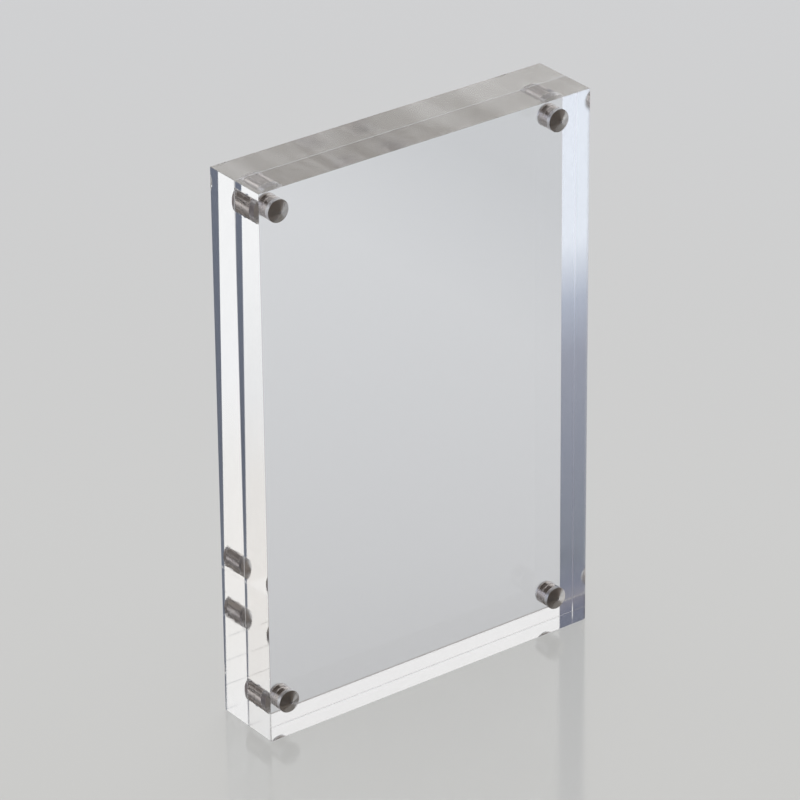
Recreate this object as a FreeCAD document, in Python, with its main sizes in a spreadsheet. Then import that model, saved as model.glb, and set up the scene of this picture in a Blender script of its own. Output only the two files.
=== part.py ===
# Acrylic block frame: two clear slabs as large as a standard print, each with a
# magnet let into a blind pocket at every corner of its inner face. The eight
# magnets hold the front slab against the rear one with the print between them.
# Frame of the part: X to the right, Y away from the viewer, Z up; the origin is at
# the middle of the underside, in the seam between the slabs. Millimetres.
import FreeCAD, Part
import Sketcher
import math
import os

# Driving dimensions: alias, value and what it is.
SIZES = [
    ("block_width", 101.6, "width of a slab, the short side of the print it is sold for"),
    ("block_height", 152.4, "height of a slab, the long side of that print"),
    ("slab_thickness", 10.0, "thickness of the cast sheet that a slab is sawn from"),
    ("edge_break", 0.25, "bevel along every outer edge of a slab"),
    ("seam_gap", 0.1, "air between the inner faces while the magnets meet"),
    ("magnet_inset", 7.7, "magnet axis to the nearest two outer edges"),
    ("magnet_diameter", 6.0, "diameter over the nickel plating"),
    ("magnet_length", 3.0, "length of a magnet along its axis"),
    ("magnet_rim", 0.25, "bevel on a magnet's two rims, tumbled before plating"),
    ("pocket_clearance", 0.05, "radial room for the adhesive between magnet and pocket wall"),
    ("pocket_lead_in", 0.2, "bevel at a pocket's mouth"),
    ("front_pocket_depth", 5.0, "depth of a front pocket, down to where its drill point begins"),
    ("rear_pocket_depth", 4.0, "depth of a rear pocket, measured the same way"),
    ("drill_point_angle", 118.0, "angle of the cone that a twist drill leaves, in degrees"),
]

doc = FreeCAD.newDocument("acrylic_block_frame")
sheet = doc.addObject("Spreadsheet::Sheet", "Sizes")
for row, (alias, value, meaning) in enumerate(SIZES, start=1):
    sheet.set(f"A{row}", alias)
    sheet.set(f"B{row}", str(value))
    sheet.set(f"C{row}", meaning)
    sheet.setAlias(f"B{row}", alias)
doc.recompute()

# Magnet places, as sides of the slab: -1 is left or bottom, +1 is right or top.
CORNERS = {
    "top_left": (-1, 1),
    "top_right": (1, 1),
    "bottom_left": (-1, -1),
    "bottom_right": (1, -1),
}
AXIS_X = "(Sizes.block_width / 2 - Sizes.magnet_inset)"
AXIS_Z = "(Sizes.block_height / 2 - Sizes.magnet_inset)"
POCKET_DIAMETER = "(Sizes.magnet_diameter + 2 * Sizes.pocket_clearance)"

# A piece is drawn as a front one, lying at negative Y. The half turn about Z makes
# it the matching rear one, with its inner face towards the front.
FACING = {
    "front": FreeCAD.Rotation(FreeCAD.Vector(0, 0, 1), 0),
    "rear": FreeCAD.Rotation(FreeCAD.Vector(0, 0, 1), 180),
}


def new_body(name, side):
    """Start a body with a label of its own, turned to its side of the seam."""
    body = doc.addObject("PartDesign::Body", name)
    body.Label = name
    body.Placement = FreeCAD.Placement(FreeCAD.Vector(), FACING[side])
    return body


def sketch_on_seam(body, name):
    """Start a sketch on the body's XZ plane, where the piece's inner face lies."""
    plane = next(item for item in body.Origin.OriginFeatures if item.Role == "XZ_Plane")
    sketch = body.newObject("Sketcher::SketchObject", name)
    sketch.AttachmentSupport = [(plane, "")]
    sketch.MapMode = "FlatFace"
    return sketch


def bind(sketch, constraint, name, expression):
    """Add a named constraint to the sketch and tie its value to the sheet."""
    number = sketch.addConstraint(constraint)
    sketch.renameConstraint(number, name)
    sketch.setExpression(f"Constraints.{name}", expression)


def outline_sketch(body):
    """Draw the slab's rectangle, centred across and standing on the X axis."""
    sketch = sketch_on_seam(body, body.Name + "_outline")
    half = sheet.block_width / 2
    top = sheet.block_height
    corners = [(-half, 0), (half, 0), (half, top), (-half, top)]
    points = [FreeCAD.Vector(x, z, 0) for x, z in corners]
    for start, end in zip(points, points[1:] + points[:1]):
        sketch.addGeometry(Part.LineSegment(start, end))
    bottom, right, upper, left = range(len(points))
    for line, following in ((bottom, right), (right, upper), (upper, left), (left, bottom)):
        sketch.addConstraint(Sketcher.Constraint("Coincident", line, 2, following, 1))
    sketch.addConstraint(Sketcher.Constraint("Horizontal", bottom))
    sketch.addConstraint(Sketcher.Constraint("Horizontal", upper))
    sketch.addConstraint(Sketcher.Constraint("Vertical", right))
    sketch.addConstraint(Sketcher.Constraint("Vertical", left))
    sketch.addConstraint(Sketcher.Constraint("Symmetric", bottom, 1, bottom, 2, -1, 1))
    width = Sketcher.Constraint("DistanceX", bottom, 1, bottom, 2, 2 * half)
    height = Sketcher.Constraint("DistanceY", right, 1, right, 2, top)
    bind(sketch, width, "width", "Sizes.block_width")
    bind(sketch, height, "height", "Sizes.block_height")
    return sketch


def pocket_sketch(body):
    """Draw the mouths of the four magnet pockets on the inner face."""
    sketch = sketch_on_seam(body, body.Name + "_pocket_mouths")
    radius = sheet.magnet_diameter / 2 + sheet.pocket_clearance
    across = sheet.block_width / 2 - sheet.magnet_inset
    up = sheet.block_height / 2 - sheet.magnet_inset
    middle = sheet.block_height / 2
    for corner, (side_x, side_z) in CORNERS.items():
        centre = FreeCAD.Vector(side_x * across, middle + side_z * up, 0)
        circle = sketch.addGeometry(Part.Circle(centre, FreeCAD.Vector(0, 0, 1), radius))
        mouth = Sketcher.Constraint("Radius", circle, radius)
        place_x = Sketcher.Constraint("DistanceX", -1, 1, circle, 3, centre.x)
        place_z = Sketcher.Constraint("DistanceY", -1, 1, circle, 3, centre.y)
        bind(sketch, mouth, f"{corner}_radius", f"{POCKET_DIAMETER} / 2")
        bind(sketch, place_x, f"{corner}_x", f"{side_x} * {AXIS_X}")
        bind(sketch, place_z, f"{corner}_z", f"Sizes.block_height / 2 + {side_z} * {AXIS_Z}")
    return sketch


def edge_names(feature, wanted):
    """Name the edges of a feature's shape for which wanted(edge) is true."""
    edges = enumerate(feature.Shape.Edges, start=1)
    return [f"Edge{number}" for number, edge in edges if wanted(edge)]


def build_slab(name, side, depth_alias):
    """Saw a slab from sheet, break its edges and drill its four blind pockets."""
    body = new_body(name, side)
    body.setExpression("Placement.Base.y", f"{'-' if side == 'front' else ''}Sizes.seam_gap / 2")

    blank = body.newObject("PartDesign::Pad", name + "_blank")
    blank.Profile = outline_sketch(body)
    blank.setExpression("Length", "Sizes.slab_thickness")
    doc.recompute()

    bevel = body.newObject("PartDesign::Chamfer", name + "_edge_break")
    bevel.Base = (blank, edge_names(blank, lambda edge: True))
    bevel.setExpression("Size", "Sizes.edge_break")
    doc.recompute()

    pockets = body.newObject("PartDesign::Hole", name + "_pockets")
    pockets.Profile = pocket_sketch(body)
    doc.recompute()
    pockets.Reversed = True
    pockets.DepthType = "Dimension"
    pockets.DrillPoint = "Angled"
    pockets.DrillForDepth = False
    pockets.HoleCutType = "Countersink"
    pockets.HoleCutCustomValues = True
    pockets.HoleCutCountersinkAngle = 90
    pockets.setExpression("Diameter", POCKET_DIAMETER)
    pockets.setExpression("Depth", f"Sizes.{depth_alias}")
    pockets.setExpression("DrillPointAngle", "Sizes.drill_point_angle")
    pockets.setExpression("HoleCutDiameter", f"{POCKET_DIAMETER} + 2 * Sizes.pocket_lead_in")
    body.Tip = pockets
    return body


def build_magnet(name, side, side_x, side_z):
    """Turn one plated disc magnet, its inner pole in the middle of the seam."""
    body = new_body(name, side)
    body.setExpression("Placement.Base.x", f"{side_x} * {AXIS_X}")
    body.setExpression("Placement.Base.z", f"Sizes.block_height / 2 + {side_z} * {AXIS_Z}")

    sketch = sketch_on_seam(body, name + "_section")
    radius = sheet.magnet_diameter / 2
    circle = sketch.addGeometry(Part.Circle(FreeCAD.Vector(), FreeCAD.Vector(0, 0, 1), radius))
    sketch.addConstraint(Sketcher.Constraint("Coincident", circle, 3, -1, 1))
    bind(sketch, Sketcher.Constraint("Radius", circle, radius), "radius", "Sizes.magnet_diameter / 2")

    disc = body.newObject("PartDesign::Pad", name + "_disc")
    disc.Profile = sketch
    disc.setExpression("Length", "Sizes.magnet_length")
    doc.recompute()

    rims = body.newObject("PartDesign::Chamfer", name + "_rims")
    rims.Base = (disc, edge_names(disc, lambda edge: isinstance(edge.Curve, Part.Circle)))
    rims.setExpression("Size", "Sizes.magnet_rim")
    body.Tip = rims
    return body


pieces = [
    build_slab("front_block", "front", "front_pocket_depth"),
    build_slab("rear_block", "rear", "rear_pocket_depth"),
]
for side in FACING:
    for corner, (side_x, side_z) in CORNERS.items():
        pieces.append(build_magnet(f"{side}_magnet_{corner}", side, side_x, side_z))
doc.recompute()

# Each slab has to have lost at least the straight part of its four pockets.
pocket_area = math.pi * (sheet.magnet_diameter / 2 + sheet.pocket_clearance) ** 2
for slab, depth in ((pieces[0], sheet.front_pocket_depth), (pieces[1], sheet.rear_pocket_depth)):
    whole = doc.getObject(slab.Name + "_edge_break").Shape.Volume
    drilled = whole - doc.getObject(slab.Name + "_pockets").Shape.Volume
    if drilled < len(CORNERS) * pocket_area * depth:
        raise RuntimeError(f"{slab.Label}: the pockets weren't drilled to their depth")

failed = [item.Name for item in doc.Objects if {"Invalid", "Error"} & set(item.State)]
for piece in pieces:
    if piece.Shape.isNull() or not piece.Shape.isValid() or len(piece.Shape.Solids) != 1:
        failed.append(piece.Label)
if failed:
    raise RuntimeError("these failed to build: " + ", ".join(failed))

os.makedirs("parts", exist_ok=True)
for piece in pieces:
    piece.Shape.exportStep(f"parts/{piece.Label}.step")
    box = piece.Shape.BoundBox
    print(f"{piece.Label}: {box.XLength:.2f} x {box.YLength:.2f} x {box.ZLength:.2f} mm, "
          f"y {box.YMin:.2f} to {box.YMax:.2f}, {piece.Shape.Volume:.0f} mm3")
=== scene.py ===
import math

import bmesh
import bpy
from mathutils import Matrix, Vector


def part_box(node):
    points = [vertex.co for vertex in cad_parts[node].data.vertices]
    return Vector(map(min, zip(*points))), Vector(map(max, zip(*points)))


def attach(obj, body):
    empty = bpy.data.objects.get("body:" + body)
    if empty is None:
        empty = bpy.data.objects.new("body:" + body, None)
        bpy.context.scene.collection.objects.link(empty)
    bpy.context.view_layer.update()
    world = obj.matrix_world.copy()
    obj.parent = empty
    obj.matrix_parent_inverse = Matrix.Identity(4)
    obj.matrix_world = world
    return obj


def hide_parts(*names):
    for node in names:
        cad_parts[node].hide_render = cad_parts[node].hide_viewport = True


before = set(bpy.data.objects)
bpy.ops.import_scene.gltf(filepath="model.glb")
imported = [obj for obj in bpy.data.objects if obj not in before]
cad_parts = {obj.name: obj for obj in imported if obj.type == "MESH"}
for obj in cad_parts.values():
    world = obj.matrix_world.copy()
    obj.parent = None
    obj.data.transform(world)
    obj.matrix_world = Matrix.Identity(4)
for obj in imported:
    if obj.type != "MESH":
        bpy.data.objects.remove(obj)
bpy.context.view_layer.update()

# Camera: a long lens a little over a metre away, to the left of the frame and above it.
# Its place and turn make the eight corners of the slabs fall where the photograph has them.
CAMERA_PLACE = (-0.66378, -0.88904, 0.65074)
CAMERA_TURN = (62.6528, 0.5023, -36.9317)
CAMERA_LENS = 222.78
NEAR_CLIP = 0.01

camera = bpy.data.objects.new("camera", bpy.data.cameras.new("camera"))
camera.location = CAMERA_PLACE
camera.rotation_euler = [math.radians(angle) for angle in CAMERA_TURN]
camera.data.lens = CAMERA_LENS
camera.data.clip_start = NEAR_CLIP
scene = bpy.context.scene
scene.collection.objects.link(camera)
scene.camera = camera
scene.view_settings.view_transform = "Standard"

# Light that runs along inside a slab turns at its faces many times before it leaves, so
# the paths need far more turns than an opaque object's.
SLAB_BOUNCES = 64
scene.cycles.max_bounces = SLAB_BOUNCES
scene.cycles.glossy_bounces = SLAB_BOUNCES
scene.cycles.transmission_bounces = SLAB_BOUNCES
scene.cycles.transparent_max_bounces = SLAB_BOUNCES


# Floor: a wide pale grey board with a slight gloss, which mirrors the magnets and the cut
# edges softly. Most of its tone is painted light, a glow of its own graded from near to far,
# so the frame casts only a faint shadow on it. What the slabs show of it is painted light and
# shade of its own: near, far, to the right, in front, and a painted contact shade beneath.
FLOOR_SIDE = 6.0
FLOOR_LIT = "#5B5C5D"
# Painted light: the board's glow, graded from near to far.
FLOOR_NEAR = "#ACACAA"
FLOOR_FAR = "#A4A5A7"
FLOOR_NEAR_AT = -0.06
FLOOR_FAR_AT = 0.43
FLOOR_ROUGHNESS = 0.1
FLOOR_IOR = 1.7
FLOOR_BELOW = 0.00005
# Painted light and shade in what the slabs see: lighter far off and in front, darker to the right.
THROUGH_NEAR = "#A7A6A6"
THROUGH_FAR = "#BABBBD"
THROUGH_RIGHT = "#A3A4A6"
RIGHT_FROM_X = 0.14
RIGHT_FULL_X = 0.21
THROUGH_FRONT = "#BABABB"
FRONT_FROM_Y = -0.03
FRONT_FULL_Y = -0.24
BESIDE_FROM_X = 0.09
BESIDE_FULL_X = 0.2
BESIDE_LEAST = 0.45
# Painted contact shade beneath the frame, darker under the front slab than under the rear one.
UNDER_FRONT_SHADE = "#757069"
UNDER_REAR_SHADE = "#85817B"
CONTACT_SHADE = 0.0006
STRAIGHT_THROUGH = 2.5
VIEW_ACROSS_FLOOR = (0.598, 0.801, 0.0)


def linear(hex_colour):
    """Turn an sRGB hex colour into the linear RGBA that the nodes take."""
    shares = [int(hex_colour[place:place + 2], 16) / 255 for place in (1, 3, 5)]
    return [s / 12.92 if s <= 0.04045 else ((s + 0.055) / 1.055) ** 2.4 for s in shares] + [1.0]


def add_node(tree, kind, inputs=None, **settings):
    """Add a node with these settings; an input is a value or the socket that feeds it."""
    node = tree.nodes.new(kind)
    for name, value in settings.items():
        setattr(node, name, value)
    for socket, value in (inputs or {}).items():
        if isinstance(value, bpy.types.NodeSocket):
            tree.links.new(value, node.inputs[socket])
        else:
            node.inputs[socket].default_value = value
    return node


def new_material(name):
    """Start a node material and return it with its emptied tree."""
    material = bpy.data.materials.new(name)
    material.use_nodes = True
    material.node_tree.nodes.clear()
    return material, material.node_tree


def new_piece(name, mesh):
    """Put a mesh into the scene as an object of that name, at the origin."""
    piece = bpy.data.objects.new(name, mesh)
    scene.collection.objects.link(piece)
    return piece


def flat_mesh(name, corners):
    """Make a mesh of one flat face through these corners."""
    mesh = bpy.data.meshes.new(name)
    mesh.from_pydata(corners, [], [range(len(corners))])
    return mesh


# Satin lacquer sprayed on board: no grain shows, and it mirrors what stands on it softly.
# It glows with painted light for camera, glossy and transmission rays. The painted contact
# shade beneath the frame is left out for rays that run straight through one slab.
satin_lacquer, tree = new_material("satin_lacquered_board")
place = add_node(tree, "ShaderNodeTexCoord").outputs["Object"]
distance = add_node(tree, "ShaderNodeVectorMath", {
    0: place,
    1: VIEW_ACROSS_FLOOR,
}, operation="DOT_PRODUCT")
far_share = add_node(tree, "ShaderNodeMapRange", {
    "Value": distance.outputs["Value"],
    "From Min": FLOOR_NEAR_AT,
    "From Max": FLOOR_FAR_AT,
})
# Painted light: the glow the camera sees, graded from near to far.
tone = add_node(tree, "ShaderNodeMix", {
    0: far_share.outputs["Result"],
    6: linear(FLOOR_NEAR),
    7: linear(FLOOR_FAR),
}, data_type="RGBA")
# Painted light and shade in what the slabs see: lighter far off and in front, darker to the right.
through = add_node(tree, "ShaderNodeMix", {
    0: far_share.outputs["Result"],
    6: linear(THROUGH_NEAR),
    7: linear(THROUGH_FAR),
}, data_type="RGBA")
split = add_node(tree, "ShaderNodeSeparateXYZ", {0: place})
front_share = add_node(tree, "ShaderNodeMapRange", {
    "Value": split.outputs["Y"],
    "From Min": FRONT_FROM_Y,
    "From Max": FRONT_FULL_Y,
})
right_share = add_node(tree, "ShaderNodeMapRange", {
    "Value": split.outputs["X"],
    "From Min": RIGHT_FROM_X,
    "From Max": RIGHT_FULL_X,
})
through = add_node(tree, "ShaderNodeMix", {
    0: right_share.outputs["Result"],
    6: through.outputs[2],
    7: linear(THROUGH_RIGHT),
}, data_type="RGBA")
beside_share = add_node(tree, "ShaderNodeMapRange", {
    "Value": split.outputs["X"],
    "From Min": BESIDE_FROM_X,
    "From Max": BESIDE_FULL_X,
    "To Min": 1.0,
    "To Max": BESIDE_LEAST,
})
front_share = add_node(tree, "ShaderNodeMath", {
    0: front_share.outputs["Result"],
    1: beside_share.outputs["Result"],
}, operation="MULTIPLY")
through = add_node(tree, "ShaderNodeMix", {
    0: front_share.outputs[0],
    6: through.outputs[2],
    7: linear(THROUGH_FRONT),
}, data_type="RGBA")
slab_low, slab_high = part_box("front_block")
rear_low, rear_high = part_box("rear_block")
# Painted contact shade beneath the frame and just past the rear face, lighter under the rear slab.
aside = add_node(tree, "ShaderNodeMath", {0: split.outputs["X"]}, operation="ABSOLUTE")
behind = add_node(tree, "ShaderNodeMath", {0: split.outputs["Y"]}, operation="ABSOLUTE")
under_x = add_node(tree, "ShaderNodeMath", {0: aside.outputs[0], 1: slab_high.x}, operation="LESS_THAN")
under_y = add_node(tree, "ShaderNodeMath", {
    0: behind.outputs[0],
    1: rear_high.y + CONTACT_SHADE,
}, operation="LESS_THAN")
under = add_node(tree, "ShaderNodeMath", {
    0: under_x.outputs[0],
    1: under_y.outputs[0],
}, operation="MULTIPLY")
ray = add_node(tree, "ShaderNodeLightPath")
turned = add_node(tree, "ShaderNodeMath", {
    0: ray.outputs["Ray Depth"],
    1: STRAIGHT_THROUGH,
}, operation="GREATER_THAN")
under = add_node(tree, "ShaderNodeMath", {
    0: under.outputs[0],
    1: turned.outputs[0],
}, operation="MULTIPLY")
under_rear = add_node(tree, "ShaderNodeMath", {0: split.outputs["Y"], 1: 0.0}, operation="GREATER_THAN")
shade = add_node(tree, "ShaderNodeMix", {
    0: under_rear.outputs[0],
    6: linear(UNDER_FRONT_SHADE),
    7: linear(UNDER_REAR_SHADE),
}, data_type="RGBA")
through = add_node(tree, "ShaderNodeMix", {
    0: under.outputs[0],
    6: through.outputs[2],
    7: shade.outputs[2],
}, data_type="RGBA")
tone = add_node(tree, "ShaderNodeMix", {
    0: ray.outputs["Is Camera Ray"],
    6: through.outputs[2],
    7: tone.outputs[2],
}, data_type="RGBA")
seen = add_node(tree, "ShaderNodeMath", {
    0: ray.outputs["Is Camera Ray"],
    1: ray.outputs["Is Glossy Ray"],
}, operation="MAXIMUM")
seen = add_node(tree, "ShaderNodeMath", {
    0: seen.outputs["Value"],
    1: ray.outputs["Is Transmission Ray"],
}, operation="MAXIMUM")
# The board glows with its painted tones for camera, glossy and transmission rays.
paint = add_node(tree, "ShaderNodeBsdfPrincipled", {
    "Base Color": linear(FLOOR_LIT),
    "Roughness": FLOOR_ROUGHNESS,
    "IOR": FLOOR_IOR,
    "Emission Color": tone.outputs[2],
    "Emission Strength": seen.outputs["Value"],
})
add_node(tree, "ShaderNodeOutputMaterial", {"Surface": paint.outputs["BSDF"]})

half = FLOOR_SIDE / 2
corners = [(x, y, -FLOOR_BELOW) for x, y in ((-half, -half), (half, -half), (half, half), (-half, half))]
floor = new_piece("floor", flat_mesh("floor", corners))
floor.data.materials.append(satin_lacquer)

# World: a pale studio for the camera. Glass and metal see the same pale band near the
# horizon, a white backdrop beyond the frame, a soft box overhead and a dim room elsewhere.
STUDIO_PALE = "#CBCBCC"
BACKDROP_WHITE = "#FFFFFF"
BACKDROP_BLUE = "#E6EAFA"
BACKDROP_WARM = "#FFFDFB"
ROOM_DIM = "#50463F"
ROOM_DIM_FROM = 0.27
ROOM_DIM_FULL = 0.38
OVERHEAD_FROM = 0.76
OVERHEAD_FULL = 0.86
BACKDROP_FROM = 0.74
BACKDROP_FULL = 0.87
BLUE_SIDE = (-0.8, 0.6, 0.0)
BLUE_FROM = 0.5
BLUE_FULL = 0.9

world = bpy.data.worlds.new("studio")
scene.world = world
world.use_nodes = True
tree = world.node_tree
tree.nodes.clear()
direction = add_node(tree, "ShaderNodeTexCoord").outputs["Generated"]
height = add_node(tree, "ShaderNodeSeparateXYZ", {0: direction}).outputs["Z"]
towards_backdrop = add_node(tree, "ShaderNodeVectorMath", {
    0: direction,
    1: VIEW_ACROSS_FLOOR,
}, operation="DOT_PRODUCT")
towards_blue = add_node(tree, "ShaderNodeVectorMath", {
    0: direction,
    1: BLUE_SIDE,
}, operation="DOT_PRODUCT")
backdrop_share = add_node(tree, "ShaderNodeMapRange", {
    "Value": towards_backdrop.outputs["Value"],
    "From Min": BACKDROP_FROM,
    "From Max": BACKDROP_FULL,
}, interpolation_type="SMOOTHSTEP")
blue_share = add_node(tree, "ShaderNodeMapRange", {
    "Value": towards_blue.outputs["Value"],
    "From Min": BLUE_FROM,
    "From Max": BLUE_FULL,
}, interpolation_type="SMOOTHSTEP")
room_share = add_node(tree, "ShaderNodeMapRange", {
    "Value": height,
    "From Min": ROOM_DIM_FROM,
    "From Max": ROOM_DIM_FULL,
}, interpolation_type="SMOOTHSTEP")
overhead_share = add_node(tree, "ShaderNodeMapRange", {
    "Value": height,
    "From Min": OVERHEAD_FROM,
    "From Max": OVERHEAD_FULL,
}, interpolation_type="SMOOTHSTEP")
horizon = add_node(tree, "ShaderNodeMix", {
    0: blue_share.outputs["Result"],
    6: linear(BACKDROP_WHITE),
    7: linear(BACKDROP_BLUE),
}, data_type="RGBA")
upper = add_node(tree, "ShaderNodeMix", {
    0: backdrop_share.outputs["Result"],
    6: linear(ROOM_DIM),
    7: linear(BACKDROP_WARM),
}, data_type="RGBA")
sides = add_node(tree, "ShaderNodeMix", {
    0: room_share.outputs["Result"],
    6: horizon.outputs[2],
    7: upper.outputs[2],
}, data_type="RGBA")
all_round = add_node(tree, "ShaderNodeMix", {
    0: overhead_share.outputs["Result"],
    6: sides.outputs[2],
    7: linear(BACKDROP_WHITE),
}, data_type="RGBA")
ray = add_node(tree, "ShaderNodeLightPath")
shown = add_node(tree, "ShaderNodeMix", {
    0: ray.outputs["Is Camera Ray"],
    6: all_round.outputs[2],
    7: linear(STUDIO_PALE),
}, data_type="RGBA")
glow = add_node(tree, "ShaderNodeBackground", {"Color": shown.outputs[2], "Strength": 1.0})
add_node(tree, "ShaderNodeOutputWorld", {"Surface": glow.outputs["Background"]})

# Cards: strips of board stood at the right end to draw its edges, as for any glassware, and
# kept out of the camera's sight: white ones level with the slabs' backs and dark louvres in
# front of them, blue-grey louvres behind, a strip in the seam and a white card at the foot.
# They glow, though they are no lamps, in painted light and shade that changes up their height.
CARD_HEIGHT = 0.17
CARD_GAP = 0.00005
CARD_REACH = 0.018
DARK_LOUVRE_PITCH = 0.0007
DARK_LOUVRES = 4
LOUVRE_PITCH = 0.00055
LOUVRES = 16
LOUVRE_REACH = 0.002
FOOT_CARD_LIFT = 0.00002
# Painted light and shade: each card's tones, as heights in metres and colours, up its height.
WHITE_TONES = ((0.0, "#FDFAF6"), (0.03, "#FCFAF7"), (0.06, "#FDFDFE"), (0.09, "#FFFFFF"))
DULL_TONES = ((0.0, "#F5F1EC"), (0.03, "#F3F0EC"), (0.055, "#F1F1F1"), (0.1, "#FFFFFF"))
DARK_TONES = ((0.0, "#626A79"), (0.015, "#5E6675"), (0.05, "#4A5365"), (0.15, "#505A6F"))
SHADED_TONES = (
    (0.0, "#858490"),
    (0.004, "#74788A"),
    (0.012, "#717784"),
    (0.045, "#808594"),
    (0.072, "#9094A3"),
    (0.088, "#AFB6C6"),
    (0.105, "#EEF3FC"),
)
SEAM_TONES = (
    (0.0, "#E6E4E2"),
    (0.0018, "#E6E4E2"),
    (0.0024, "#8E8D98"),
    (0.045, "#888B99"),
    (0.072, "#9498A6"),
    (0.088, "#AFB6C6"),
    (0.105, "#EEF3FC"),
)
SEAM_STRIP_IN = 0.00015
SEAM_STRIP_OUT = 0.00012
RIGHT_END = slab_high.x
SEAM = (slab_high.y + rear_low.y) / 2
REAR_FACE = rear_high.y

# Each upright card is its name, its tones and its two ends, with the glowing side on the
# right hand of the way from the first end to the second.
card_near = RIGHT_END + CARD_GAP
card_far = RIGHT_END + CARD_REACH
cards = []
for side, back, tones in (("front", SEAM, DULL_TONES), ("rear", REAR_FACE, WHITE_TONES)):
    white = back + CARD_GAP
    cards.append((side + "_white_card", tones, (card_near, white), (card_far, white)))
    for number in range(1, DARK_LOUVRES + 1):
        dark = back - DARK_LOUVRE_PITCH * number
        cards.append((f"{side}_dark_card_{number}", DARK_TONES, (card_far, dark), (card_near, dark)))
strip_ends = ((RIGHT_END - SEAM_STRIP_IN, SEAM), (RIGHT_END + SEAM_STRIP_OUT, SEAM))
cards.append(("seam_strip", SEAM_TONES, *strip_ends))
for number in range(1, LOUVRES + 1):
    across = RIGHT_END - LOUVRE_PITCH * number
    reach = CARD_REACH if number == LOUVRES else LOUVRE_REACH
    louvre_ends = ((across, REAR_FACE + CARD_GAP), (across, REAR_FACE + reach))
    cards.append((f"shaded_card_{number}", SHADED_TONES, *louvre_ends))


# Matt board that glows, though it is no lamp, with painted light and shade: it stands for
# board that the studio lights, in tones that change up its height. It glows on one side only,
# and rays that run straight through one slab miss it, so that it shows at the slabs' ends alone.
def glowing_painted_board(name, tones, least_turns):
    """Make a glowing board in painted light and shade, toned up its height, clear from behind and to rays
    with fewer turns.
    """
    board, tree = new_material(name)
    place = add_node(tree, "ShaderNodeTexCoord").outputs["Object"]
    height = add_node(tree, "ShaderNodeSeparateXYZ", {0: place}).outputs["Z"]
    share = add_node(tree, "ShaderNodeMapRange", {
        "Value": height,
        "From Min": 0.0,
        "From Max": CARD_HEIGHT,
    })
    ramp = add_node(tree, "ShaderNodeValToRGB", {"Fac": share.outputs["Result"]})
    stops = ramp.color_ramp.elements
    while len(stops) < len(tones):
        stops.new(1.0)
    for stop, (level, colour) in zip(stops, tones):
        stop.position = level / CARD_HEIGHT
        stop.color = linear(colour)
    side = add_node(tree, "ShaderNodeNewGeometry").outputs["Backfacing"]
    turns = add_node(tree, "ShaderNodeLightPath").outputs["Ray Depth"]
    straight = add_node(tree, "ShaderNodeMath", {0: turns, 1: least_turns}, operation="LESS_THAN")
    unseen = add_node(tree, "ShaderNodeMath", {0: side, 1: straight.outputs[0]}, operation="MAXIMUM")
    glow = add_node(tree, "ShaderNodeEmission", {"Color": ramp.outputs["Color"]})
    clear = add_node(tree, "ShaderNodeBsdfTransparent")
    one_sided = add_node(tree, "ShaderNodeMixShader", {
        0: unseen.outputs[0],
        1: glow.outputs[0],
        2: clear.outputs[0],
    })
    add_node(tree, "ShaderNodeOutputMaterial", {"Surface": one_sided.outputs[0]})
    return board


card_shapes = [
    (name, tones, [(*start, 0), (*end, 0), (*end, CARD_HEIGHT), (*start, CARD_HEIGHT)])
    for name, tones, start, end in cards
]
foot_corners = (
    (card_near, slab_low.y, FOOT_CARD_LIFT),
    (card_far, slab_low.y, FOOT_CARD_LIFT),
    (card_far, REAR_FACE, FOOT_CARD_LIFT),
    (card_near, REAR_FACE, FOOT_CARD_LIFT),
)
card_shapes.append(("foot_card", WHITE_TONES, foot_corners))
# The seam strip alone is shown to every ray, because the camera sees it through one slab.
for name, tones, corners in card_shapes:
    card = new_piece(name, flat_mesh(name, corners))
    least_turns = 0.0 if name == "seam_strip" else STRAIGHT_THROUGH
    card.data.materials.append(glowing_painted_board(name, tones, least_turns))
    card.visible_camera = False
    card.visible_diffuse = False
    card.visible_glossy = False
    card.visible_shadow = False

# Lamps: two large soft boxes, one over the frame and one behind it on the right. Metal and
# acrylic don't mirror them, because the world already has their glow. Each line gives a
# lamp's name, place, side in metres and power in watts.
LAMPS = [
    ("top_box", (0.1, 0.2, 1.5), 1.2, 9.0),
    ("rear_box", (1.2, 0.9, 0.9), 0.9, 6.0),
]
for name, place, side, watts in LAMPS:
    lamp = bpy.data.objects.new(name, bpy.data.lights.new(name, "AREA"))
    lamp.location = place
    lamp.rotation_euler = (-Vector(place)).to_track_quat("-Z", "Y").to_euler()
    lamp.data.size = side
    lamp.data.energy = watts
    lamp.visible_glossy = False
    lamp.visible_transmission = False
    scene.collection.objects.link(lamp)

# Slabs: two pieces of 10 mm cast acrylic sheet, sawn to the size of the print, with their
# edges broken and four blind pockets drilled into the inner face of each for the magnets.
# The magnets hold one slab to the other, so nothing else joins them.
ACRYLIC_IOR = 1.477
ACRYLIC_TINT = "#FDFEFF"
EDGE_BREAK = 0.00004
POCKET_CLEARANCE = 0.00005
LEAD_IN = 0.0002
DRILL_POINT = math.radians(118)
DRILL_WEB = 0.0003
OVERRUN = 0.0005
FACETS = 96
POCKET_DEPTHS = {"front": 0.005, "rear": 0.004}
SMOOTH_BELOW = math.radians(20)
END_SKIN = 0.0001
FACE_SQUARENESS = 0.99

magnet_low, magnet_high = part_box("front_magnet_top_left")
MAGNET_RADIUS = (magnet_high.x - magnet_low.x) / 2
MAGNET_LENGTH = magnet_high.y - magnet_low.y
SPACING_ACROSS = -(magnet_low.x + magnet_high.x)
MIDDLE_HEIGHT = (slab_low.z + slab_high.z) / 2
SPACING_UP = (magnet_low.z + magnet_high.z) - 2 * MIDDLE_HEIGHT


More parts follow.
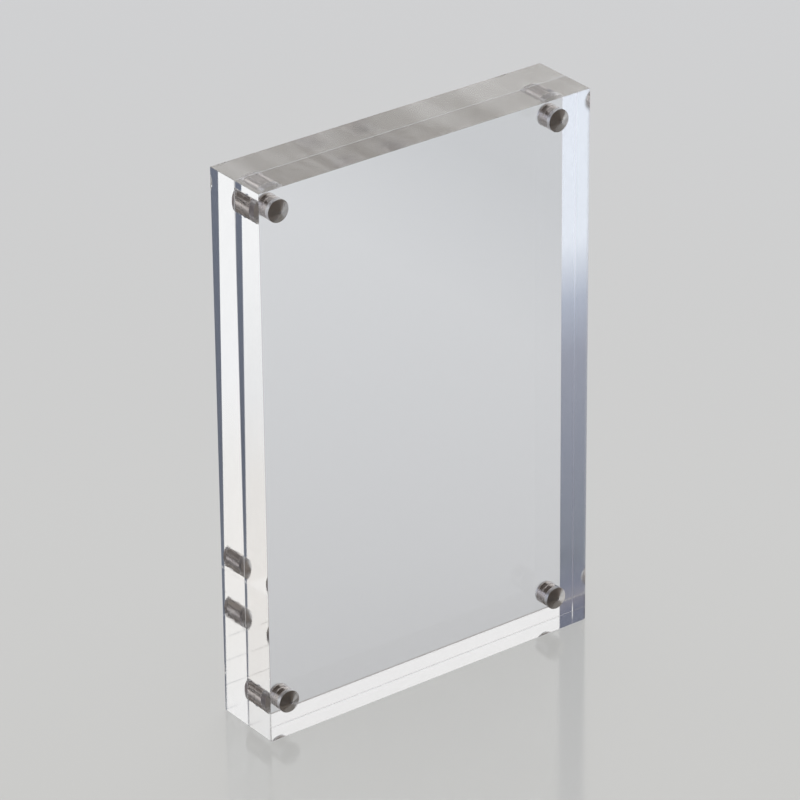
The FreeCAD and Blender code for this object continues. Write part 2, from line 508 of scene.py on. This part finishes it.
def turned_mesh(name, outline):
    """Turn an outline of (place along Y, radius) pairs round the Y axis, closing its ends."""
    shape = bmesh.new()
    rings = []
    for along, radius in outline:
        angles = [math.tau * step / FACETS for step in range(FACETS)]
        ring = [(radius * math.cos(angle), along, radius * math.sin(angle)) for angle in angles]
        rings.append([shape.verts.new(corner) for corner in ring])
    shape.faces.new(rings[0])
    shape.faces.new(reversed(rings[-1]))
    for ring, following in zip(rings, rings[1:]):
        for step in range(FACETS):
            after = (step + 1) % FACETS
            shape.faces.new((ring[step], following[step], following[after], ring[after]))
    bmesh.ops.recalc_face_normals(shape, faces=shape.faces)
    mesh = bpy.data.meshes.new(name)
    shape.to_mesh(mesh)
    shape.free()
    return mesh


# A wave texture of scale 1 repeats every 0.314 m. A noise of scale 1 has one spot to a metre,
# and nearly all of its values lie between the low and the high one here.
WAVE_PERIOD = 0.314
NOISE_LOW = 0.3
NOISE_HIGH = 0.7


def acrylic(name):
    """Start a clear acrylic material: returns it, its tree and its shader."""
    material, tree = new_material(name)
    shader = add_node(tree, "ShaderNodeBsdfPrincipled", {
        "Base Color": linear(ACRYLIC_TINT),
        "IOR": ACRYLIC_IOR,
        "Transmission Weight": 1.0,
        "Roughness": 0.0,
    })
    add_node(tree, "ShaderNodeOutputMaterial", {"Surface": shader.outputs["BSDF"]})
    return material, tree, shader


# Cast acrylic as it leaves the glass mould: as clear and flat as glass, with only the faint
# haze of wiping, in patches some 17 mm across.
WIPES_PER_METRE = 60.0
WIPE_FROM = 0.55
WIPE_FULL = 0.8
WIPE_ROUGHNESS = 0.02
cast_face, tree, shader = acrylic("cast_acrylic_face")
place = add_node(tree, "ShaderNodeTexCoord").outputs["Object"]
wipes = add_node(tree, "ShaderNodeTexNoise", {"Vector": place, "Scale": WIPES_PER_METRE, "Detail": 4.0})
haze = add_node(tree, "ShaderNodeMapRange", {
    "Value": wipes.outputs["Fac"],
    "From Min": WIPE_FROM,
    "From Max": WIPE_FULL,
    "To Min": 0.0,
    "To Max": WIPE_ROUGHNESS,
})
tree.links.new(haze.outputs["Result"], shader.inputs["Roughness"])

# Cast acrylic sawn with a fine circular blade, then buffed. The top keeps a satin scuff, the
# right end shows the arcs of the blade, and the rest is polished, a shade duller in patches
# of 6 mm. The arcs lie 0.7 mm apart, as far as the sheet moves in one turn of the blade. The
# teeth's marks within them are drawn coarser than real, so that they show. The scuff is
# drawn out from front to back, in streaks 2 mm wide and clouds 12 mm wide. Its turn only
# picks another cut through the noise.
SAW_PITCH = 0.0007
TOOTH_PITCH = 0.00016
SAW_ARC_RADIUS = 0.03
SAW_DEPTH = 0.000004
ARC_WOBBLE = 1.5
TOOTH_WOBBLE = 4.0
TOOTH_SHARE = 0.25
POLISHED_SHARE = 0.15
TOP_FROM = slab_high.z - END_SKIN
RIGHT_FROM = slab_high.x - END_SKIN
UNDERSIDE_BELOW = END_SKIN
PATCHES_PER_METRE = 180.0
PATCH_ROUGHNESS = 0.004
TOP_ROUGHNESS = 0.14
UNDERSIDE_ROUGHNESS = 0.04
SCUFF_TURN = math.radians(35)
SCUFF_STRETCH = 0.12
STREAKS_PER_METRE = 450.0
STREAK_SHARE = 0.4
CLOUDS_PER_METRE = 80.0
SCUFF_FROM = 0.45
SCUFF_FULL = 0.65
TOP_FROST = 0.2
RIGHT_FROST = 0.045
sawn_end, tree, shader = acrylic("cast_acrylic_sawn_end")
place = add_node(tree, "ShaderNodeTexCoord").outputs["Object"]
split = add_node(tree, "ShaderNodeSeparateXYZ", {0: place})
along = add_node(tree, "ShaderNodeMath", {0: split.outputs["X"], 1: split.outputs["Z"]}, operation="ADD")
squared = add_node(tree, "ShaderNodeMath", {
    0: split.outputs["Y"],
    1: split.outputs["Y"],
}, operation="MULTIPLY")
sag = add_node(tree, "ShaderNodeMath", {
    0: squared.outputs[0],
    1: 2 * SAW_ARC_RADIUS,
}, operation="DIVIDE")
arc_place = add_node(tree, "ShaderNodeMath", {0: along.outputs[0], 1: sag.outputs[0]}, operation="ADD")
arc_vector = add_node(tree, "ShaderNodeCombineXYZ", {"X": arc_place.outputs[0]})
arcs = add_node(tree, "ShaderNodeTexWave", {
    "Vector": arc_vector.outputs[0],
    "Scale": WAVE_PERIOD / SAW_PITCH,
    "Distortion": ARC_WOBBLE,
    "Detail": 2.0,
})
teeth = add_node(tree, "ShaderNodeTexWave", {
    "Vector": arc_vector.outputs[0],
    "Scale": WAVE_PERIOD / TOOTH_PITCH,
    "Distortion": TOOTH_WOBBLE,
    "Detail": 3.0,
})
marks = add_node(tree, "ShaderNodeMath", {
    0: teeth.outputs["Fac"],
    1: TOOTH_SHARE,
    2: arcs.outputs["Fac"],
}, operation="MULTIPLY_ADD")
on_top = add_node(tree, "ShaderNodeMath", {0: split.outputs["Z"], 1: TOP_FROM}, operation="GREATER_THAN")
on_right = add_node(tree, "ShaderNodeMath", {
    0: split.outputs["X"],
    1: RIGHT_FROM,
}, operation="GREATER_THAN")
depth = add_node(tree, "ShaderNodeMapRange", {
    "Value": on_right.outputs[0],
    "To Min": POLISHED_SHARE,
    "To Max": 1.0,
})
bump = add_node(tree, "ShaderNodeBump", {
    "Height": marks.outputs[0],
    "Distance": SAW_DEPTH,
    "Strength": depth.outputs["Result"],
})
tree.links.new(bump.outputs["Normal"], shader.inputs["Normal"])
patches = add_node(tree, "ShaderNodeTexNoise", {"Vector": place, "Scale": PATCHES_PER_METRE, "Detail": 3.0})
satin = add_node(tree, "ShaderNodeMapRange", {
    "Value": patches.outputs["Fac"],
    "From Min": NOISE_LOW,
    "From Max": NOISE_HIGH,
    "To Min": 0.0,
    "To Max": PATCH_ROUGHNESS,
})
satin = add_node(tree, "ShaderNodeMath", {
    0: on_top.outputs[0],
    1: TOP_ROUGHNESS,
    2: satin.outputs["Result"],
}, operation="MULTIPLY_ADD")
on_underside = add_node(tree, "ShaderNodeMath", {
    0: split.outputs["Z"],
    1: UNDERSIDE_BELOW,
}, operation="LESS_THAN")
satin = add_node(tree, "ShaderNodeMath", {
    0: on_underside.outputs[0],
    1: UNDERSIDE_ROUGHNESS,
    2: satin.outputs[0],
}, operation="MULTIPLY_ADD")
tree.links.new(satin.outputs[0], shader.inputs["Roughness"])
drawn = add_node(tree, "ShaderNodeMapping", {
    "Vector": place,
    "Rotation": (0, 0, SCUFF_TURN),
    "Scale": (1.0, SCUFF_STRETCH, 1.0),
})
scuffs = add_node(tree, "ShaderNodeTexNoise", {
    "Vector": drawn.outputs["Vector"],
    "Scale": STREAKS_PER_METRE,
    "Detail": 4.0,
})
streaks = add_node(tree, "ShaderNodeMapRange", {
    "Value": scuffs.outputs["Fac"],
    "From Min": SCUFF_FROM,
    "From Max": SCUFF_FULL,
})
clouds = add_node(tree, "ShaderNodeTexNoise", {
    "Vector": drawn.outputs["Vector"],
    "Scale": CLOUDS_PER_METRE,
    "Detail": 2.0,
})
cloudy = add_node(tree, "ShaderNodeMapRange", {
    "Value": clouds.outputs["Fac"],
    "From Min": SCUFF_FROM,
    "From Max": SCUFF_FULL,
})
scuffed = add_node(tree, "ShaderNodeMath", {
    0: streaks.outputs["Result"],
    1: STREAK_SHARE,
    2: cloudy.outputs["Result"],
}, operation="MULTIPLY_ADD")
top_frost = add_node(tree, "ShaderNodeMath", {
    0: on_top.outputs[0],
    1: TOP_FROST / (1 + STREAK_SHARE),
}, operation="MULTIPLY")
right_frost = add_node(tree, "ShaderNodeMath", {
    0: on_right.outputs[0],
    1: RIGHT_FROST,
}, operation="MULTIPLY")
frost = add_node(tree, "ShaderNodeMath", {
    0: scuffed.outputs[0],
    1: top_frost.outputs[0],
}, operation="MULTIPLY")
frost = add_node(tree, "ShaderNodeMath", {
    0: arcs.outputs["Fac"],
    1: right_frost.outputs[0],
    2: frost.outputs[0],
}, operation="MULTIPLY_ADD")
clear = add_node(tree, "ShaderNodeMath", {0: 1.0, 1: frost.outputs[0]}, operation="SUBTRACT")
tree.links.new(clear.outputs[0], shader.inputs["Transmission Weight"])

# Cast acrylic cut by a twist drill: a frosted wall with the turns of the drill, smeared with
# adhesive, and dark brown at the cone, partly adhesive and partly painted shade of the
# pocket's end. Beside the magnet the adhesive fills the gap and the wall can't be seen. The
# turns have a drill's real feed, 0.15 mm, and are 2 micrometres deep. The frost is drawn in
# patches of 1.1 mm, because its own grain is too fine to show.
WALL_CLEARNESS = 0.6
ADHESIVE_SMEAR = "#BBAFB2"
# Painted shade: the cone at the pocket's end is dark brown, partly adhesive.
CONE_ADHESIVE_AND_SHADE = "#7C6C5C"
CONE_TILT = 0.3
DRILL_FEED = 0.00015
DRILL_MARK_DEPTH = 0.000002
DRILL_WOBBLE = 1.0
FROST_PATCHES_PER_METRE = 900.0
WALL_SMOOTHEST = 0.28
WALL_ROUGHEST = 0.4
drilled_wall, tree, shader = acrylic("cast_acrylic_drilled_wall")
shader.inputs["Transmission Weight"].default_value = WALL_CLEARNESS
where = add_node(tree, "ShaderNodeTexCoord")
place = where.outputs["Object"]
split = add_node(tree, "ShaderNodeSeparateXYZ", {0: place})
tilt = add_node(tree, "ShaderNodeSeparateXYZ", {0: where.outputs["Normal"]})
tilt = add_node(tree, "ShaderNodeMath", {0: tilt.outputs["Y"]}, operation="ABSOLUTE")
is_cone = add_node(tree, "ShaderNodeMath", {0: tilt.outputs[0], 1: CONE_TILT}, operation="GREATER_THAN")
# Painted shade on the cone, the pocket's end, mixed with the adhesive smear on the wall.
smear_and_cone_shade = add_node(tree, "ShaderNodeMix", {
    0: is_cone.outputs[0],
    6: linear(ADHESIVE_SMEAR),
    7: linear(CONE_ADHESIVE_AND_SHADE),
}, data_type="RGBA")
tree.links.new(smear_and_cone_shade.outputs[2], shader.inputs["Base Color"])
turn_vector = add_node(tree, "ShaderNodeCombineXYZ", {"X": split.outputs["Y"]})
turns = add_node(tree, "ShaderNodeTexWave", {
    "Vector": turn_vector.outputs[0],
    "Scale": WAVE_PERIOD / DRILL_FEED,
    "Distortion": DRILL_WOBBLE,
})
bump = add_node(tree, "ShaderNodeBump", {
    "Height": turns.outputs["Fac"],
    "Distance": DRILL_MARK_DEPTH,
    "Strength": 1.0,
})
tree.links.new(bump.outputs["Normal"], shader.inputs["Normal"])
frost = add_node(tree, "ShaderNodeTexNoise", {
    "Vector": place,
    "Scale": FROST_PATCHES_PER_METRE,
    "Detail": 3.0,
})
frosting = add_node(tree, "ShaderNodeMapRange", {
    "Value": frost.outputs["Fac"],
    "From Min": NOISE_LOW,
    "From Max": NOISE_HIGH,
    "To Min": WALL_SMOOTHEST,
    "To Max": WALL_ROUGHEST,
})
tree.links.new(frosting.outputs["Result"], shader.inputs["Roughness"])
distance = add_node(tree, "ShaderNodeMath", {0: split.outputs["Y"]}, operation="ABSOLUTE")
bare = add_node(tree, "ShaderNodeMath", {
    0: distance.outputs[0],
    1: MAGNET_LENGTH,
}, operation="GREATER_THAN")
tree.links.new(bare.outputs[0], shader.inputs["Alpha"])

# The tree that sets a turned shape out at the four corners, as instances on a 2 x 2 grid.
# The drill and the magnets share it, so that each magnet lies in the middle of its pocket.
corner_tree = bpy.data.node_groups.new("four_corners", "GeometryNodeTree")
corner_tree.interface.new_socket("Geometry", in_out="INPUT", socket_type="NodeSocketGeometry")
for label in ("Spacing across", "Spacing up", "Middle height"):
    corner_tree.interface.new_socket(label, in_out="INPUT", socket_type="NodeSocketFloat")
corner_tree.interface.new_socket("Material", in_out="INPUT", socket_type="NodeSocketMaterial")
corner_tree.interface.new_socket("Geometry", in_out="OUTPUT", socket_type="NodeSocketGeometry")
given = add_node(corner_tree, "NodeGroupInput")
grid = add_node(corner_tree, "GeometryNodeMeshGrid", {
    "Size X": given.outputs["Spacing across"],
    "Size Y": given.outputs["Spacing up"],
    "Vertices X": 2,
    "Vertices Y": 2,
})
lift = add_node(corner_tree, "ShaderNodeCombineXYZ", {"Z": given.outputs["Middle height"]})
upright = add_node(corner_tree, "GeometryNodeTransform", {
    "Geometry": grid.outputs["Mesh"],
    "Translation": lift.outputs["Vector"],
    "Rotation": (math.radians(90), 0, 0),
})
copies = add_node(corner_tree, "GeometryNodeInstanceOnPoints", {
    "Points": upright.outputs["Geometry"],
    "Instance": given.outputs["Geometry"],
})
joined = add_node(corner_tree, "GeometryNodeRealizeInstances", {"Geometry": copies.outputs["Instances"]})
dressed = add_node(corner_tree, "GeometryNodeSetMaterial", {
    "Geometry": joined.outputs["Geometry"],
    "Material": given.outputs["Material"],
})
add_node(corner_tree, "NodeGroupOutput", {"Geometry": dressed.outputs["Geometry"]})

# The tree that drills a blank: it takes the drill's shape out of it at the four corners, and
# gives the cast faces, the sawn ends and the drilled walls each their own material.
drill_tree = bpy.data.node_groups.new("drilled_slab", "GeometryNodeTree")
drill_tree.interface.new_socket("Geometry", in_out="INPUT", socket_type="NodeSocketGeometry")
drill_tree.interface.new_socket("Drill", in_out="INPUT", socket_type="NodeSocketObject")
for label in ("Spacing across", "Spacing up", "Middle height"):
    drill_tree.interface.new_socket(label, in_out="INPUT", socket_type="NodeSocketFloat")
for label in ("Face material", "End material", "Wall material"):
    drill_tree.interface.new_socket(label, in_out="INPUT", socket_type="NodeSocketMaterial")
drill_tree.interface.new_socket("Geometry", in_out="OUTPUT", socket_type="NodeSocketGeometry")
given = add_node(drill_tree, "NodeGroupInput")
blank = add_node(drill_tree, "GeometryNodeSetMaterial", {
    "Geometry": given.outputs["Geometry"],
    "Material": given.outputs["End material"],
})
drill = add_node(drill_tree, "GeometryNodeObjectInfo", {"Object": given.outputs["Drill"]})
drills = add_node(drill_tree, "GeometryNodeGroup", node_tree=corner_tree)
for label, socket in (
    ("Geometry", drill.outputs["Geometry"]),
    ("Spacing across", given.outputs["Spacing across"]),
    ("Spacing up", given.outputs["Spacing up"]),
    ("Middle height", given.outputs["Middle height"]),
    ("Material", given.outputs["Wall material"]),
):
    drill_tree.links.new(socket, drills.inputs[label])
pocketed = add_node(drill_tree, "GeometryNodeMeshBoolean", {
    "Mesh 1": blank.outputs["Geometry"],
    "Mesh 2": drills.outputs["Geometry"],
}, operation="DIFFERENCE", solver="EXACT")
whole = add_node(drill_tree, "GeometryNodeRealizeInstances", {"Geometry": pocketed.outputs["Mesh"]})
normal = add_node(drill_tree, "GeometryNodeInputNormal")
facing = add_node(drill_tree, "ShaderNodeSeparateXYZ", {0: normal.outputs["Normal"]})
squareness = add_node(drill_tree, "ShaderNodeMath", {0: facing.outputs["Y"]}, operation="ABSOLUTE")
is_face = add_node(drill_tree, "ShaderNodeMath", {
    0: squareness.outputs[0],
    1: FACE_SQUARENESS,
}, operation="GREATER_THAN")
faced = add_node(drill_tree, "GeometryNodeSetMaterial", {
    "Geometry": whole.outputs["Geometry"],
    "Selection": is_face.outputs[0],
    "Material": given.outputs["Face material"],
})
add_node(drill_tree, "NodeGroupOutput", {"Geometry": faced.outputs["Geometry"]})


def made_by(node_tree, piece, values):
    """Run a piece's mesh through a tree with these named inputs and keep the plain result."""
    modifier = piece.modifiers.new(node_tree.name, "NODES")
    modifier.node_group = node_tree
    for item in node_tree.interface.items_tree:
        if item.in_out == "INPUT" and item.name in values:
            modifier[item.identifier] = values[item.name]
    bpy.context.view_layer.update()
    evaluated = piece.evaluated_get(bpy.context.evaluated_depsgraph_get())
    mesh = bpy.data.meshes.new_from_object(evaluated)
    piece.modifiers.remove(modifier)
    mesh.name = piece.name
    piece.data = mesh
    mesh.shade_smooth()
    mesh.set_sharp_from_angle(angle=SMOOTH_BELOW)
    return piece


pocket_radius = MAGNET_RADIUS + POCKET_CLEARANCE
for side, low, high in (("front", slab_low, slab_high), ("rear", rear_low, rear_high)):
    inward = 1 if side == "rear" else -1
    mouth = low.y if side == "rear" else high.y
    depth = POCKET_DEPTHS[side]
    point = (pocket_radius - DRILL_WEB) / math.tan(DRILL_POINT / 2)
    drill_outline = [
        (mouth - inward * OVERRUN, pocket_radius + LEAD_IN + OVERRUN),
        (mouth + inward * LEAD_IN, pocket_radius),
        (mouth + inward * depth, pocket_radius),
        (mouth + inward * (depth + point), DRILL_WEB),
    ]
    drill = new_piece("drill", turned_mesh("drill", drill_outline))

    shape = bmesh.new()
    bmesh.ops.create_cube(shape, size=1.0)
    bmesh.ops.scale(shape, vec=high - low, verts=shape.verts)
    bmesh.ops.translate(shape, vec=(low + high) / 2, verts=shape.verts)
    bmesh.ops.bevel(shape, geom=shape.edges, offset=EDGE_BREAK, segments=1, affect="EDGES")
    mesh = bpy.data.meshes.new(side + "_slab")
    shape.to_mesh(mesh)
    shape.free()
    slab = made_by(drill_tree, new_piece(side + "_slab", mesh), {
        "Drill": drill,
        "Spacing across": SPACING_ACROSS,
        "Spacing up": SPACING_UP,
        "Middle height": MIDDLE_HEIGHT,
        "Face material": cast_face,
        "End material": sawn_end,
        "Wall material": drilled_wall,
    })
    bpy.data.objects.remove(drill)
    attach(slab, side)
    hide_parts(side + "_block")

# Magnets: eight neodymium discs, 6 x 3 mm, sintered, tumbled and plated with nickel, four
# in each slab. They are glued into their pockets with the inner poles just proud of the
# slab's face, so that each pair touches.
MAGNET_RIM = 0.00025
RIM_STEPS = 4
FLAT_MARGIN = 0.00002
NICKEL = "#E2D9D4"
# Painted shade along the outline, where the plate is seen at a slant.
SLANT_SHADE_EDGE = "#6E6460"
# Painted shade of the outer pole at the pocket's end, partly adhesive.
POLE_ADHESIVE_AND_SHADE = "#7C6A5A"
GLUED_AND_SHADED_END = 0.0001
RIPPLES_PER_METRE = 2500.0
TUMBLING_DEPTH = 0.0000002
DULL_SPOTS_PER_METRE = 700.0
PLATE_SMOOTHEST = 0.1
PLATE_ROUGHEST = 0.14
FILM_FROM = 0.6
FILM_ROUGHNESS = 0.12
FILM_HAZE = 0.35
GRAZING_BLEND = 0.35
CORNER_NAMES = ("top_left", "top_right", "bottom_left", "bottom_right")

# Bright nickel plated on a tumbled disc: a mirror, a little dulled in spots of 1.4 mm, with
# the ripple of the tumbling at 0.4 mm. Adhesive hazes its left and right flanks. It is painted
# darker where it is seen at a slant, a painted shade along its outline, and its outer pole is
# painted dark brown, partly adhesive and partly painted shade of the pocket's end.
nickel_plate, tree = new_material("bright_nickel_plate")
where = add_node(tree, "ShaderNodeTexCoord")
place = where.outputs["Object"]
tumbling = add_node(tree, "ShaderNodeTexNoise", {
    "Vector": place,
    "Scale": RIPPLES_PER_METRE,
    "Detail": 3.0,
})
bump = add_node(tree, "ShaderNodeBump", {
    "Height": tumbling.outputs["Fac"],
    "Distance": TUMBLING_DEPTH,
    "Strength": 1.0,
})
clouds = add_node(tree, "ShaderNodeTexNoise", {
    "Vector": place,
    "Scale": DULL_SPOTS_PER_METRE,
    "Detail": 3.0,
})
dulling = add_node(tree, "ShaderNodeMapRange", {
    "Value": clouds.outputs["Fac"],
    "From Min": NOISE_LOW,
    "From Max": NOISE_HIGH,
    "To Min": PLATE_SMOOTHEST,
    "To Max": PLATE_ROUGHEST,
})
aside = add_node(tree, "ShaderNodeSeparateXYZ", {0: where.outputs["Normal"]})
aside = add_node(tree, "ShaderNodeMath", {0: aside.outputs["X"]}, operation="ABSOLUTE")
filmed = add_node(tree, "ShaderNodeMapRange", {
    "Value": aside.outputs[0],
    "From Min": FILM_FROM,
    "From Max": 1.0,
})
dulling = add_node(tree, "ShaderNodeMath", {
    0: filmed.outputs["Result"],
    1: FILM_ROUGHNESS,
    2: dulling.outputs["Result"],
}, operation="MULTIPLY_ADD")
metal = add_node(tree, "ShaderNodeMapRange", {
    "Value": filmed.outputs["Result"],
    "To Min": 1.0,
    "To Max": 1.0 - FILM_HAZE,
})
# Painted shade: the plate darkens where it is seen at a slant.
grazing = add_node(tree, "ShaderNodeLayerWeight", {"Blend": GRAZING_BLEND})
slant_shaded = add_node(tree, "ShaderNodeMix", {
    0: grazing.outputs["Facing"],
    6: linear(NICKEL),
    7: linear(SLANT_SHADE_EDGE),
}, data_type="RGBA")
split = add_node(tree, "ShaderNodeSeparateXYZ", {0: place})
depth = add_node(tree, "ShaderNodeMath", {0: split.outputs["Y"]}, operation="ABSOLUTE")
# Painted shade: the outer pole, at the pocket's end, is dark brown, partly adhesive.
shaded_glued_pole = add_node(tree, "ShaderNodeMath", {
    0: depth.outputs[0],
    1: MAGNET_LENGTH - GLUED_AND_SHADED_END,
}, operation="GREATER_THAN")
surface = add_node(tree, "ShaderNodeMix", {
    0: shaded_glued_pole.outputs[0],
    6: slant_shaded.outputs[2],
    7: linear(POLE_ADHESIVE_AND_SHADE),
}, data_type="RGBA")
plate = add_node(tree, "ShaderNodeBsdfPrincipled", {
    "Base Color": surface.outputs[2],
    "Metallic": metal.outputs["Result"],
    "Roughness": dulling.outputs[0],
    "Normal": bump.outputs["Normal"],
})
add_node(tree, "ShaderNodeOutputMaterial", {"Surface": plate.outputs["BSDF"]})

# The rounded rim is a quarter circle. A narrow ring on either side of it keeps the pole and
# the flank flat, because smooth shading would otherwise tilt them next to the rim.
rim_outline = [(0.0, MAGNET_RADIUS - MAGNET_RIM - FLAT_MARGIN)]
for step in range(RIM_STEPS + 1):
    angle = math.radians(90) * step / RIM_STEPS
    inset = MAGNET_RIM * (1 - math.cos(angle))
    radius = MAGNET_RADIUS - MAGNET_RIM * (1 - math.sin(angle))
    rim_outline.append((inset, radius))
rim_outline.append((MAGNET_RIM + FLAT_MARGIN, MAGNET_RADIUS))
for side, inward in (("front", -1), ("rear", 1)):
    outline = [(inward * along, radius) for along, radius in rim_outline]
    outline += [(inward * (MAGNET_LENGTH - along), radius) for along, radius in reversed(rim_outline)]
    name = side + "_magnets"
    magnets = made_by(corner_tree, new_piece(name, turned_mesh(name, outline)), {
        "Spacing across": SPACING_ACROSS,
        "Spacing up": SPACING_UP,
        "Middle height": MIDDLE_HEIGHT,
        "Material": nickel_plate,
    })
    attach(magnets, side)
    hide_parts(*[f"{side}_magnet_{corner}" for corner in CORNER_NAMES])
